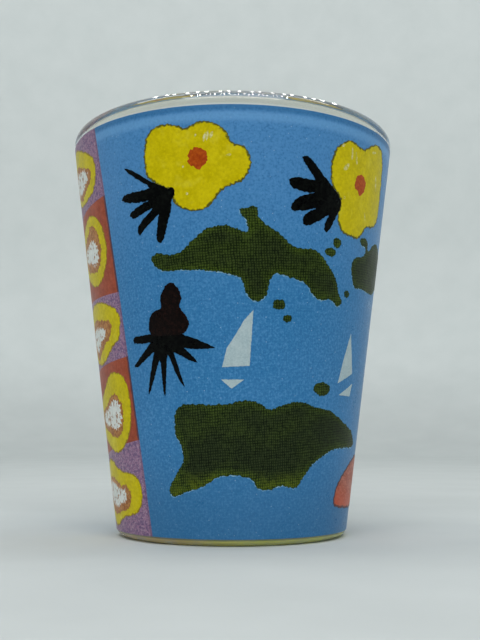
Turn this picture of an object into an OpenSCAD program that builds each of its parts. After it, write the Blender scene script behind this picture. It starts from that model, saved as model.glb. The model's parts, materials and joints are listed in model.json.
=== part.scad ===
// Souvenir shot glass: a heavy pressed-glass tumbler with a picture band
// fused on the outside. Every patch of ink is its own thin solid.
// Millimetres. +Z up, origin at the centre of the foot on the table,
// the middle of the picture faces -Y. Places on the print are given as
// [angle in degrees round the glass, height above the table].

/* [Glass] */
// Overall height of the glass
glass_h = 60; // [54:0.5:66]
// Radius of the outer cone carried up to the full height
rim_r = 24.7; // [23:0.1:27]
// Radius of the outer cone carried down to the table
foot_r = 16.9; // [15:0.1:19]
// Wall thickness, square to the wall (the lip is a full round of this width)
wall_t = 3; // [2.4:0.1:3.6]
// Thickness of the solid base
base_t = 9; // [6:0.5:13]
// Rounding between the wall and the table
heel_r = 1.4; // [0.8:0.1:2.2]
// Rounding inside the cup, between the wall and the floor
floor_r = 4; // [2:0.5:6]
// Radius of the shallow hollow under the foot
punt_r = 11.5; // [8:0.5:12]
// Depth of the hollow under the foot
punt_depth = 0.8; // [0.4:0.1:1.5]

/* [Print] */
// Height of the print's lower edge on a 60 mm glass
print_low = 1; // [1:0.1:3]
// Height of the print's upper edge on a 60 mm glass
print_high = 57.7; // [55:0.1:58]
// Thickness of the ground inks: the sea and the border tiles
ground_t = 0.08; // [0.05:0.01:0.15]
// Thickness of the inks laid over the ground
ink_t = 0.06; // [0.05:0.01:0.15]
// Steps between two points of a drawn outline
smooth_steps = 3; // [2:1:5]

/* [Border strip] */
// Angle of the strip's left edge, all the way down
strip_left = -86; // [-88:0.5:-84]
// Angle of the strip's right edge at the top of the print
strip_right_top = -53; // [-54:0.5:-51]
// Angle of the strip's right edge at the bottom of the print
strip_right_low = -39; // [-41:0.5:-37]

/* [Hidden] */
$fn = 96;

lean = atan((rim_r - foot_r) / glass_h);
ca = cos(lean);
sa = sin(lean);
lip = wall_t / 2;

// outer radius of the wall at height z
function r_at(z) = foot_r + (rim_r - foot_r) * z / glass_h;
// inner radius of the wall at height z
function r_in(z) = r_at(z) - wall_t / ca;
// heights on the print follow the glass height
function hz(z) = z * glass_h / 60;

// ---- glass -------------------------------------------------------------

lip_c = [r_at(glass_h - lip) - lip / ca, glass_h - lip];
heel_c = [r_at(heel_r) - heel_r / ca, heel_r];
floor_c = [r_in(base_t + floor_r) - floor_r / ca, base_t + floor_r];
side = [ca, -sa];
punt_R = (punt_r * punt_r + punt_depth * punt_depth) / (2 * punt_depth);

module glass_section() {
    difference() {
        union() {
            polygon([[0, 0], [heel_c[0], 0], heel_c + heel_r * side,
                lip_c + lip * side, lip_c - lip * side,
                floor_c + floor_r * side, [floor_c[0], base_t], [0, base_t]]);
            translate(heel_c) circle(r = heel_r);
            translate(lip_c) circle(r = lip);
        }
        translate(floor_c) circle(r = floor_r);
    }
}

module glass_body() {
    color([0.86, 0.93, 0.92, 0.4])
    difference() {
        rotate_extrude() glass_section();
        translate([0, 0, punt_depth - punt_R]) sphere(r = punt_R);
    }
}

// ---- helpers for the print ----------------------------------------------

// thin cone following the wall between two depths of ink
module coat(from_t, to_t) {
    lo = hz(print_low);
    hi = hz(print_high);
    rotate_extrude()
        polygon([[r_at(lo) + from_t / ca, lo], [r_at(lo) + to_t / ca, lo],
            [r_at(hi) + to_t / ca, hi], [r_at(hi) + from_t / ca, hi]]);
}

// drives a flat outline outwards from the axis at angle a
module face_out(a) {
    rotate([0, 0, a]) rotate([90, 0, 0]) linear_extrude(height = 40) children();
}

// one ink patch: outline children seen square on from angle a
module ink(a) {
    intersection() {
        coat(ground_t, ground_t + ink_t);
        face_out(a) children();
    }
}

// place [angle, height] as seen square on from angle a
function flat(p, a) = [r_at(hz(p[1])) * sin(p[0] - a), hz(p[1])];

// closed smooth curve through the points p
function curve(p) = let (m = len(p), n = smooth_steps)
    [for (i = [0:m - 1]) for (k = [0:n - 1])
        let (t = k / n, a = p[(i + m - 1) % m], b = p[i], c = p[(i + 1) % m], d = p[(i + 2) % m])
        0.5 * (2 * b + (c - a) * t + (2 * a - 5 * b + 4 * c - d) * t * t
            + (3 * b - a - 3 * c + d) * t * t * t)];

module blob(p, a) polygon([for (q = curve(p)) flat(q, a)]);
module sharp(p, a) polygon([for (q = p) flat(q, a)]);

// oval, ra degrees by rz millimetres
function oval(c, ra, rz, n = 8) =
    [for (i = [0:n - 1]) [c[0] + ra * cos(360 * i / n), c[1] + rz * sin(360 * i / n)]];

// moves an outline round the glass and up
function moved(p, da, dz) = [for (q = p) [q[0] + da, q[1] + dz]];
// mirrors an outline left to right about angle c
function swapped(p, c) = [for (i = [len(p) - 1:-1:0]) [2 * c - p[i][0], p[i][1]]];

// ---- border strip --------------------------------------------------------

strip_a = -65;
function strip_right(z) = strip_right_low
    + (strip_right_top - strip_right_low) * (z - print_low) / (print_high - print_low);
// the strip between two heights given at its right and left edges
module strip_part(lo_r, lo_l, hi_r, hi_l) {
    n = 5;
    function zz(a, b, i) = a + (b - a) * i / n;
    function q(z, i) = flat([zz(strip_right(z), strip_left, i), z], strip_a);
    polygon(concat(
        [for (i = [0:n]) q(zz(lo_r, lo_l, i), i)],
        [for (i = [n:-1:0]) q(zz(hi_r, hi_l, i), i)]));
}
// heights of the tiles' joins at the right and the left edge, from the top down
joins = [[60, 60], [48, 46.2], [34.3, 34], [25.4, 23.6], [14, 11.4], [0, 0]];
module tile(i) {
    intersection() {
        coat(0, ground_t);
        face_out(strip_a) strip_part(joins[i + 1][0], joins[i + 1][1], joins[i][0], joins[i][1]);
    }
}

module sea_ground() {
    color([0.27, 0.49, 0.70])
    difference() {
        coat(0, ground_t);
        face_out(strip_a) strip_part(0, 0, 60, 60);
    }
}
module border_tiles_purple() color([0.55, 0.40, 0.55]) for (i = [0, 2, 4]) tile(i);
module border_tiles_red() color([0.64, 0.24, 0.15]) for (i = [1, 3]) tile(i);

// cut fruit slices, one on each tile: rind and flesh, darker ring, pale middle
flesh = [
    [[-55.2, 52.5], [-56.4, 53.8], [-59.5, 54.7], [-63.2, 55.4], [-67.3, 56], [-71.5, 56.6], [-76, 56.8],
        [-81, 56], [-84, 53.6], [-83, 50.8], [-79, 48.9], [-75, 48.3], [-71.5, 48.2], [-67.3, 48.2],
        [-63.2, 48.6], [-59.5, 49], [-57.2, 49.8], [-55.7, 51]],
    [[-52.5, 41], [-53.3, 42.6], [-54.8, 44], [-58, 45.3], [-61.6, 45.9], [-64.7, 46.1], [-68.4, 45.8],
        [-72, 45.2], [-76.5, 44.3], [-81, 42.8], [-83, 40.8], [-81, 38.8], [-76.2, 37.3], [-72, 36.5],
        [-68.4, 36], [-64.7, 35.8], [-61.1, 36], [-57.4, 36.8], [-54.3, 38.3], [-52.8, 39.8]],
    [[-48, 31], [-50.1, 31.9], [-52.8, 32.5], [-56, 32.9], [-60.6, 33.4], [-66, 33.6], [-71, 33.5],
        [-76.2, 33.1], [-81.5, 31.8], [-84, 29.4], [-82, 26.8], [-78, 25.4], [-74, 24.8], [-69.6, 24.6],
        [-65.2, 24.8], [-61.5, 25.4], [-57.8, 26.2], [-54, 27.1], [-50.9, 27.6], [-49.2, 28.3], [-48.3, 29.7]],
    [[-45.8, 18.7], [-46.2, 20.2], [-47.4, 21.7], [-50, 22.8], [-54, 23.3], [-57.8, 23.4], [-62, 22.9],
        [-66, 21.9], [-69.6, 21], [-75, 20.2], [-80, 19], [-82, 17], [-79.5, 14.8], [-74.5, 13.6],
        [-69.6, 13], [-65.2, 12.4], [-60.2, 12.1], [-55.2, 12.6], [-51.5, 13.5], [-49, 14.5], [-47.4, 15.5], [-46.2, 17.2]],
    [[-43.1, 6.8], [-44, 8.2], [-46.5, 9], [-50.2, 9.4], [-55.2, 9.5], [-59.6, 9.8], [-63.4, 10.2],
        [-67, 10.9], [-71.5, 11.2], [-76, 11], [-81, 10], [-84, 7.6], [-83.4, 4.8], [-79.5, 2.8],
        [-75, 1.9], [-71.5, 1.7], [-67, 2.1], [-63.4, 2.7], [-59, 3.2], [-54, 3.5], [-49, 3.8], [-45.6, 4.5], [-43.7, 5.5]]];
ring = [
    [[-59, 52.1], [-60, 52.6], [-62.1, 52.8], [-66.8, 53.4], [-71, 53.9], [-76, 54.4], [-80, 53.6],
        [-81.5, 52], [-79.5, 50.2], [-75, 49.2], [-70.5, 49], [-68, 49.4], [-64.7, 50], [-61.9, 50.4], [-59.8, 51.2]],
    [[-56.9, 41], [-58, 42.7], [-60.6, 44.1], [-63.2, 44.6], [-66.3, 44.4], [-69, 43.7], [-73, 43.2],
        [-78, 42.4], [-80, 41], [-78, 39.4], [-74, 38.4], [-69.9, 38.1], [-65.8, 37.9], [-62.1, 37.9],
        [-59.5, 38.6], [-57.4, 39.8]],
    [[-54.6, 29.8], [-55.4, 30.4], [-57, 30.7], [-60.6, 30.8], [-65.8, 31], [-70, 31.2], [-75, 31],
        [-80, 30], [-81.5, 28.6], [-79, 26.8], [-75, 25.6], [-72, 25.4], [-68.4, 26.1], [-64, 27],
        [-60, 27.7], [-56.5, 28.3]],
    [[-51.8, 17.5], [-52.1, 18.7], [-54, 19.6], [-57.1, 20.4], [-60.2, 20.2], [-64, 19.6], [-67.8, 18.8],
        [-72, 18.4], [-77, 18], [-79, 17], [-77, 15.8], [-70.2, 15.2], [-66.5, 14.8], [-62, 14.3],
        [-57.1, 14.4], [-54, 15], [-52.4, 16.2]],
    [[-51.5, 6.4], [-53, 7.2], [-55.2, 7.7], [-59, 7.6], [-62.8, 7.9], [-66.5, 8.4], [-70.2, 8.6],
        [-76, 8.6], [-80.5, 7.4], [-81, 5.8], [-77, 4], [-72, 3.4], [-66.5, 3.5], [-62.8, 3.9],
        [-58.4, 4.1], [-54.6, 4.5], [-52.4, 5.2]]];
core = [
    [[-61.8, 51.8], [-63, 52.3], [-66, 52.9], [-70, 53], [-75, 53.3], [-79, 52.6], [-79, 51], [-74, 49.9],
        [-70, 50], [-67, 50.4], [-64, 51]],
    [[-59.5, 40.4], [-60, 41.2], [-61.1, 41.8], [-63.2, 42.3], [-66.8, 42.3], [-70, 41.9], [-76, 41.6],
        [-77.5, 40.6], [-74, 39.7], [-69, 39.6], [-66.8, 39.1], [-63.7, 38.8], [-60.6, 39.2]],
    [[-60, 29.1], [-62, 29.7], [-66.5, 30], [-70.2, 29.9], [-76, 29.8], [-79, 28.8], [-76, 27.2], [-71.5, 26.6],
        [-69, 27.2], [-65.2, 28], [-62, 28.4]],
    [[-53.4, 17.7], [-54.6, 19], [-57.1, 19.5], [-61, 19.3], [-64, 18.7], [-68.4, 18.1], [-75, 17.6],
        [-76, 16.8], [-71.5, 16.2], [-67, 15.9], [-63.4, 15.7], [-59.6, 15.4], [-56, 15.7], [-53.7, 16.7]],
    [[-55.2, 6.2], [-57.1, 7.1], [-59.6, 7], [-63.4, 7.1], [-67, 7.6], [-71.5, 7.9], [-77, 7.6],
        [-79, 6.2], [-75, 4.9], [-71.5, 4.7], [-67, 4.5], [-62.8, 5], [-59, 5.2], [-56, 5.7]]];

module slice_flesh_yellow() color([0.78, 0.71, 0.08])
    for (i = [0:4]) ink(strip_a) difference() {
        blob(flesh[i], strip_a);
        blob(ring[i], strip_a);
    }
module slice_ring_orange() color([0.66, 0.40, 0.20])
    for (i = [0:4]) ink(strip_a) difference() {
        blob(ring[i], strip_a);
        blob(core[i], strip_a);
    }
module slice_core_white() color([0.80, 0.82, 0.78])
    for (i = [0:4]) ink(strip_a) blob(core[i], strip_a);

// ---- flowers ---------------------------------------------------------------

petals_a = [[-15.3, 54.8], [-13, 55.2], [-10.5, 55.6], [-7.5, 55.5], [-4.5, 55], [-2, 54.1], [-0.8, 53],
    [0.5, 52.6], [3.2, 52.3], [5.2, 51.4], [5.8, 50], [5, 48.8], [3, 47.8], [0, 47.2], [-3, 46.7],
    [-5, 45.8], [-7, 44.8], [-9.2, 44.2], [-12, 43.9], [-15, 44.1], [-18, 44.5], [-20, 45.3], [-20.6, 46.6],
    [-22.5, 47.2], [-26.2, 47.9], [-29.3, 49], [-30.2, 50.2], [-30.1, 52], [-29.6, 53.5], [-28, 54.7],
    [-25.5, 55.4], [-21.3, 55.6], [-17.6, 55.2]];
petals_b = [[47.5, 54.6], [50, 54.5], [52.6, 55], [55, 55.6], [58, 56], [60.7, 56.1], [63.3, 55.8],
    [65, 55], [66.3, 53.9], [67, 52.4], [67.4, 50.6], [67.7, 49], [67.5, 47.1], [66.6, 45.6],
    [64.5, 44.8], [61.5, 44.3], [57, 44], [55, 43.3], [53.4, 42.5], [51.2, 42], [47.5, 42],
    [43.8, 42.2], [41.3, 42.6], [39.6, 43.6], [39.2, 44.8], [40, 46], [39.6, 46.8], [38.2, 47.4],
    [35.8, 48.2], [34.7, 49.5], [34.4, 50.7], [34.8, 52.1], [35.8, 53.2], [38, 54.1], [40.5, 54.8], [44.2, 55]];
eye_a = [[-14.6, 50.9], [-13.6, 51.9], [-11.2, 52.2], [-9.1, 51.8], [-8.1, 51.1], [-8.7, 50.1],
    [-10, 49.6], [-11.2, 49.2], [-12.8, 49.8], [-14.4, 50.1]];
eye_b = moved(eye_a, 61.3, -1.3);
back_r = 88;
back_l = 133;

// leaf sprays beside the flowers, five leaves on one stalk
leaves_a = [[-21.8, 47.1], [-20.6, 47.3], [-19.8, 47.1], [-19.5, 46.6], [-20, 46], [-20.8, 45.5], [-21, 44.6],
    [-21.7, 43.5], [-22.6, 42.6], [-23.4, 41.6], [-24.2, 40.6], [-25.2, 40.1], [-26.4, 40.1], [-27.1, 40.7],
    [-27, 41.6], [-26.4, 42.6], [-25.8, 43.9], [-27, 43.5], [-29, 43], [-31, 42.4], [-33, 41.7], [-34, 41.4],
    [-34.9, 41.8], [-34.6, 42.6], [-33, 43.2], [-31, 43.8], [-29, 44.4], [-28.1, 44.8], [-30, 44.6],
    [-32.5, 44.2], [-35, 43.8], [-36.8, 43.8], [-38, 44.2], [-37.4, 44.7], [-35.5, 45], [-33, 45.4],
    [-31, 45.7], [-29.4, 45.9], [-32, 45.8], [-35, 45.8], [-38, 46], [-40, 46.2], [-41.3, 46.6],
    [-40.6, 47], [-38.5, 47.2], [-35.6, 47.3], [-32.5, 47.3], [-30, 47.4], [-28.7, 47.5], [-30, 48],
    [-32, 48.5], [-34, 49], [-36, 49.6], [-38, 50.2], [-39, 50.7], [-37.5, 50.6], [-35.5, 50.2],
    [-33, 49.6], [-30.5, 48.9], [-28, 48.3], [-25.5, 47.8], [-23, 47.4]];
leaves_b = [[23, 51.5], [24.7, 51.7], [26.2, 51.4], [27.8, 50.9], [29.9, 50.1], [31.7, 49.4], [33.5, 48.9],
    [35.6, 48.2], [37.8, 47.6], [39.4, 46.9], [40.4, 46.3], [40.2, 45.6], [39.4, 45], [38.6, 44.4],
    [37.6, 43.6], [36.6, 42.9], [35.6, 42.3], [34.4, 41.9], [33.4, 42.2], [33.6, 43], [34.4, 43.7],
    [35, 44.3], [33.5, 44], [32, 43.6], [30.5, 43.2], [29, 42.9], [27.5, 42.6], [26, 42.5], [24.7, 42.7],
    [24.3, 43.3], [25.2, 43.9], [26.6, 44.3], [28, 44.6], [29.4, 44.9], [28, 44.8], [26.5, 44.6], [24.5, 44.4],
    [22.5, 44.3], [20.8, 44.2], [19.8, 44.6], [20.4, 45.3], [21.4, 45.8], [23, 46.2], [25, 46.5],
    [27, 46.8], [28.6, 47], [26.5, 46.9], [24.5, 46.9], [22.5, 47], [20.5, 47.2], [19.2, 47.6],
    [18.6, 48.2], [19.8, 48.6], [21.8, 48.7], [24, 48.7], [26.4, 48.6], [28.6, 48.7], [27.4, 49.2],
    [26, 49.8], [24.8, 50.4], [23.7, 50.9]];

module petals_left() color([0.80, 0.74, 0.03]) ink(-20) difference() {
    blob(petals_a, -20);
    blob(eye_a, -20);
    sharp(leaves_a, -20);
}
module petals_right() color([0.80, 0.74, 0.03]) ink(45) difference() {
    blob(petals_b, 45);
    blob(eye_b, 45);
    sharp(leaves_b, 45);
}
module flower_eye_left() color([0.75, 0.27, 0.06]) ink(-20) blob(eye_a, -20);
module flower_eye_right() color([0.75, 0.27, 0.06]) ink(45) blob(eye_b, 45);
module leaves_left() color([0.03, 0.03, 0.03]) ink(-20) sharp(leaves_a, -20);
module leaves_right() color([0.03, 0.03, 0.03]) ink(45) sharp(leaves_b, 45);

// the two flowers again on the back, one round each
module petals_back_right() rotate([0, 0, back_r]) petals_right();
module petals_back_left() rotate([0, 0, 360 - back_l]) petals_left();
module flower_eye_back_right() rotate([0, 0, back_r]) flower_eye_right();
module flower_eye_back_left() rotate([0, 0, 360 - back_l]) flower_eye_left();
module leaves_back_right() rotate([0, 0, back_r]) leaves_right();
module leaves_back_left() rotate([0, 0, 360 - back_l]) leaves_left();

// ---- fruit on its leaves -----------------------------------------------------

fruit = [[-21.8, 34.7], [-20, 34.1], [-18.9, 33.2], [-18.6, 32.4], [-19.5, 31.6], [-18.6, 31], [-16.9, 30.2],
    [-16, 29.4], [-16.7, 28.5], [-19, 27.9], [-23, 27.8], [-28, 27.8], [-31.3, 27.9], [-32.6, 28.6],
    [-32.6, 29.7], [-31.2, 30.7], [-29.2, 31.2], [-27.2, 31.4], [-26.7, 31.9], [-27, 32.8], [-26.1, 33.6],
    [-24.1, 34.5]];
// its seven leaves
leaves_c = [[-31.5, 28.1], [-26, 28.3], [-19.6, 28.1], [-17.3, 27.7], [-13.3, 27.2], [-8.8, 26.5], [-6.2, 26],
    [-10.5, 25.9], [-14.5, 25.9], [-18.3, 26.1], [-16.2, 25.4], [-13.9, 24.6], [-13, 24.1], [-16.7, 24.5],
    [-19.6, 25.1], [-22.5, 25.6], [-21.8, 24.7], [-20.4, 23.1], [-19, 21.5], [-18.6, 21], [-20.1, 21.5],
    [-22.4, 23.1], [-24.1, 24.7], [-25.1, 25.3], [-25.7, 24.3], [-26.3, 22.2], [-26.8, 20.4], [-27.2, 19.7],
    [-27.8, 20.4], [-28.1, 22.4], [-28.4, 24.3], [-28.9, 24.6], [-30.1, 23.6], [-31.8, 22.2], [-33.8, 20.6],
    [-35, 20.1], [-34.9, 20.7], [-33.5, 22.7], [-32.4, 24.1], [-31, 25.7], [-32.1, 25.5], [-36, 24.6],
    [-39.5, 23.8], [-41.4, 23.8], [-41.2, 24.1], [-38.3, 25], [-35.5, 25.9], [-32.4, 27], [-36.6, 26.9],
    [-40.6, 27], [-41.2, 27.45], [-40, 27.9], [-35.5, 28]];
module fruit_front() color([0.12, 0.05, 0.05]) ink(-25) blob(fruit, -25);
module fruit_leaves_front() color([0.03, 0.03, 0.03]) ink(-25) difference() {
    sharp(leaves_c, -25);
    blob(fruit, -25);
}
module fruit_back() rotate([0, 0, 260]) fruit_front();
module fruit_leaves_back() rotate([0, 0, 260]) fruit_leaves_front();

// ---- islands -------------------------------------------------------------------

upper = [[-30, 38], [-27, 38.7], [-20, 38.4], [-15, 39.7], [-10, 41.3], [-4, 42], [2, 41.5],
    [5, 41], [4.5, 42.6], [2, 44], [5, 44.3], [8.2, 44.4], [9, 42.9], [14, 41.6], [18, 40.6],
    [21, 39.6], [26, 39.4], [31, 39.3], [36, 37.8], [41, 35.8], [43, 34], [45.3, 33], [43, 32.2],
    [39, 33], [34, 32.8], [30.5, 33.4], [27, 34.8], [20, 35.5], [15, 35.8], [13, 34.4], [12, 32.8],
    [8.5, 32.1], [5, 33], [3, 35], [-3, 35.8], [-12, 36.2], [-20, 36.3], [-26, 36.4]];
edge = [[49.3, 38], [49.8, 38.9], [52, 39.4], [55, 39.7], [57.8, 40.1], [58.6, 40.8], [57.5, 41.2],
    [55, 41.3], [53.6, 41.8], [54.4, 42.3], [57, 42.5], [59.2, 42.1], [60.2, 41.2], [61.5, 40.9], [63.5, 41.4],
    [66, 42.2], [70, 42.5], [74, 42.2], [78, 41.6], [82, 41], [86, 39.4], [84, 37], [78, 36.2], [72, 35.2],
    [65, 35.1], [58, 35.3], [53, 35.2], [50.4, 36.4]];
lower = [[-23.5, 15], [-22.5, 18], [-17, 18.7], [-10, 18.6], [-2, 18.7], [5, 19.2], [11, 18.8],
    [15, 18], [21, 18.7], [28, 19.1], [36, 18.4], [44, 18], [51, 17], [58, 16], [64, 15.2],
    [68.5, 13.8], [67, 13], [58, 12.9], [49, 12.7], [42, 11.8], [36, 10.6], [32, 9], [28, 7.6],
    [22, 8], [16, 7.5], [11.5, 7.6], [8, 8.9], [1, 9.4], [-6, 9.1], [-12, 7.9], [-19, 7.2],
    [-25.5, 6.5], [-27.5, 7.5], [-24, 9.4], [-20.5, 11.2], [-20.8, 13]];
back_low = [[115, 16], [119, 17.6], [128, 18.8], [140, 18.2], [152, 19], [163, 18.2], [173, 16.8],
    [182, 15.6], [186, 13.8], [180, 12.4], [170, 12], [162, 10.4], [152, 9.6], [142, 10],
    [133, 8.6], [124, 9.4], [118, 11.4], [113, 13.6]];
back_up = swapped(moved([for (q = upper) [q[0] * 0.9, q[1]]], 160, -1), 165);
small_isles = [[40, 40.8, 2.1, 0.7], [37.2, 39.4, 2.8, 0.6], [17, 31.8, 2.6, 0.7],
    [20.5, 30, 1.8, 0.5], [47.8, 34.1, 1.7, 0.5], [38.5, 20.9, 4.6, 0.9],
    [106, 34, 3, 0.8], [113, 37, 2, 0.6], [200, 20, 3.4, 0.8],
    [226, 40, 3.2, 0.8], [236, 42, 2.2, 0.6]];

green = [0.17, 0.24, 0.10];
module island_upper() color(green) ink(8) blob(upper, 8);
module island_edge() color(green) ink(67) blob(edge, 67);
module island_lower() color(green) ink(21) blob(lower, 21);
module island_back_upper() color(green) ink(167) blob(back_up, 167);
module island_back_lower() color(green) ink(150) blob(back_low, 150);
module islets() color(green) for (q = small_isles) ink(q[0]) blob(oval([q[0], q[1]], q[2], q[3]), q[0]);

// ---- boats and fish ----------------------------------------------------------------

module boat_left() color([0.78, 0.84, 0.86]) {
    ink(2) sharp([[7.6, 31], [6.6, 23.7], [-3.8, 23.5], [-2, 26], [1, 27.6], [4.2, 29.6]], 2);
    ink(0) sharp([[4.6, 21.9], [-4.2, 21.9], [-0.2, 20.7]], 0);
}
module boat_right() color([0.78, 0.84, 0.86]) {
    ink(53) sharp([[53.6, 28.8], [58, 23.3], [47.6, 21.8], [50, 25]], 53);
    ink(54) sharp([[59.2, 21.9], [57.8, 20.1], [49, 20.2]], 54);
}
module boat_back() rotate([0, 0, 172]) boat_left();

fish_a = [[53, 6], [55.4, 8], [62, 9.8], [70, 11.2], [79, 11.8], [88, 9.8], [95, 8.2], [102, 10.6],
    [106, 11], [103.5, 7.2], [106, 3.6], [102, 3.6], [95, 6], [87, 4.9], [76, 4.3], [66, 4.4], [58, 4.6], [54, 5]];
module fish_coral() color([0.72, 0.32, 0.25]) ink(80) blob(fish_a, 80);
module fish_yellow() color([0.80, 0.70, 0.05]) ink(180) blob(moved(fish_a, 100, -2), 180);

glass_body();
sea_ground();
border_tiles_purple();
border_tiles_red();
slice_flesh_yellow();
slice_ring_orange();
slice_core_white();
petals_left();
petals_right();
petals_back_right();
petals_back_left();
flower_eye_left();
flower_eye_right();
flower_eye_back_right();
flower_eye_back_left();
leaves_left();
leaves_right();
leaves_back_right();
leaves_back_left();
fruit_front();
fruit_back();
fruit_leaves_front();
fruit_leaves_back();
island_upper();
island_edge();
island_lower();
island_back_upper();
island_back_lower();
islets();
boat_left();
boat_right();
boat_back();
fish_coral();
fish_yellow();
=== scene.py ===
import json
import math
import random

import bpy
from mathutils import Matrix, Vector
from mathutils.geometry import delaunay_2d_cdt
from mathutils.kdtree import KDTree

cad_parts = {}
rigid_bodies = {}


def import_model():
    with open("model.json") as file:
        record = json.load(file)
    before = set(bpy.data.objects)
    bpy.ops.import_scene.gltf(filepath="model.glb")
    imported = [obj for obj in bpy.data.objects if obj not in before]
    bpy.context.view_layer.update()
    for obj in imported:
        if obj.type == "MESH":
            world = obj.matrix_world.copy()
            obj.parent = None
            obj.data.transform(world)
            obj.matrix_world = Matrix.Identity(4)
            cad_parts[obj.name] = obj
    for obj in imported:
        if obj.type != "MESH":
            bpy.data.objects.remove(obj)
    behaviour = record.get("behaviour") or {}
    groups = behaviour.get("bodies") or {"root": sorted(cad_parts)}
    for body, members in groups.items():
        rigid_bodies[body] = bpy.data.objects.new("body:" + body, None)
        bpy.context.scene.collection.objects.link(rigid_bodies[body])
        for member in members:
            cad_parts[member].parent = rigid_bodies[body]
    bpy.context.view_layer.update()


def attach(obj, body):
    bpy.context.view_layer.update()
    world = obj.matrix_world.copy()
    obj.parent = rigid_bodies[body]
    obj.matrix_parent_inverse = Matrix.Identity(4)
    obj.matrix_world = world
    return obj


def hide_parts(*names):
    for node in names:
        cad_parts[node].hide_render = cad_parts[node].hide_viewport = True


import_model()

MM = 0.001
scene = bpy.context.scene
ROOT = "root"

# ---------------------------------------------------------------------------
# The glass: the same section as the CAD solid, in millimetres
# ---------------------------------------------------------------------------
GLASS_H, RIM_R, FOOT_R = 60.0, 24.7, 16.9
WALL, BASE, HEEL, FLOOR_R = 3.0, 9.0, 1.4, 4.0
PUNT_R, PUNT_D = 11.5, 0.8
PRINT_LOW, PRINT_HIGH = 1.0, 57.7

LEAN = math.atan((RIM_R - FOOT_R) / GLASS_H)
CA, SA = math.cos(LEAN), math.sin(LEAN)
LIP = WALL / 2


def r_at(z):
    return FOOT_R + (RIM_R - FOOT_R) * z / GLASS_H


def r_in(z):
    return r_at(z) - WALL / CA


def arc(cx, cz, r, a0, a1, n):
    """Points on a circle from a0 to a1 degrees, ends included."""
    return [(cx + r * math.cos(math.radians(a0 + (a1 - a0) * i / n)),
             cz + r * math.sin(math.radians(a0 + (a1 - a0) * i / n))) for i in range(n + 1)]


def glass_profile():
    lean = math.degrees(LEAN)
    pts = []
    # hollow under the foot
    R = (PUNT_R ** 2 + PUNT_D ** 2) / (2 * PUNT_D)
    for i in range(1, 14):
        r = PUNT_R * i / 14
        pts.append((r, PUNT_D - R + math.sqrt(R * R - r * r)))
    # a small round where the hollow meets the bearing ring
    pts += [(PUNT_R - 0.25, 0.036), (PUNT_R, 0.012), (PUNT_R + 0.3, 0.0)]
    hx = r_at(HEEL) - HEEL / CA
    pts += [(hx - 1.2, 0.0), (hx - 0.4, 0.0)]
    pts += arc(hx, HEEL, HEEL, -90, -lean, 14)
    lx, lz = r_at(GLASS_H - LIP) - LIP / CA, GLASS_H - LIP - 0.004
    z0, z1 = pts[-1][1], lz - LIP * SA
    n = 74
    pts += [(r_at(z0 + (z1 - z0) * i / n), z0 + (z1 - z0) * i / n) for i in range(1, n)]
    pts += arc(lx, lz, LIP, -lean, 180 - lean, 30)
    fx, fz = r_in(BASE + FLOOR_R) - FLOOR_R / CA, BASE + FLOOR_R
    z0, z1 = pts[-1][1], fz - FLOOR_R * SA
    n = 60
    for i in range(1, n):
        z = z0 + (z1 - z0) * i / n
        pts.append((r_in(z), z))
    pts += arc(fx, fz, FLOOR_R, -lean, -90, 18)
    # the floor is pressed a little proud in the middle
    m = 14
    pts += [(fx * (1 - i / m), BASE) for i in range(1, m)]
    return pts


def ripple(theta, z, inside):
    """Slight unevenness of pressed glass, inwards only, in millimetres."""
    w = (math.sin(3 * theta + 0.09 * z) + 0.6 * math.sin(5 * theta - 0.13 * z + 1.1)
         + 0.5 * math.sin(2 * theta + 0.21 * z + 2.3))
    return (0.5 + w / 4.2) * (0.028 if inside else 0.0)


def make_mesh(name, verts, faces, smooth=True, sharp=35):
    me = bpy.data.meshes.new(name)
    me.from_pydata(verts, [], faces)
    me.validate()
    if smooth:
        me.shade_smooth()
        me.set_sharp_from_angle(angle=math.radians(sharp))
    ob = bpy.data.objects.new(name, me)
    scene.collection.objects.link(ob)
    return ob


def build_glass():
    prof = glass_profile()
    N = 256
    verts, faces = [(0, 0, PUNT_D * MM)], []
    for i, (r, z) in enumerate(prof):
        inside = r < r_at(z) - 1.6 and z > BASE - 0.01
        for j in range(N):
            t = 2 * math.pi * j / N
            rr, zz = r, z
            if inside:
                k = min(1.0, max(0.0, (z - BASE) / 3)) * min(1.0, max(0.0, (GLASS_H - 1.5 - z) / 4))
                rr = r + ripple(t, z, True) * k       # hollows the wall, never fills it
                if z < BASE + 0.3:
                    zz = z + 0.10 * math.cos(r / 11.6 * math.pi / 2) + 0.02 * math.sin(2 * t + 0.5) * (r / 12)
            verts.append((rr * math.sin(t) * MM, -rr * math.cos(t) * MM, zz * MM))
    top = len(verts)
    verts.append((0, 0, (BASE + 0.10) * MM))
    for j in range(N):
        k = (j + 1) % N
        faces.append((0, 1 + k, 1 + j))
        for i in range(len(prof) - 1):
            a, b = 1 + i * N, 1 + (i + 1) * N
            faces.append((a + j, a + k, b + k, b + j))
        e = 1 + (len(prof) - 1) * N
        faces.append((e + j, e + k, top))
    ob = make_mesh("glass_tumbler", verts, faces, sharp=60)
    return ob


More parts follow.
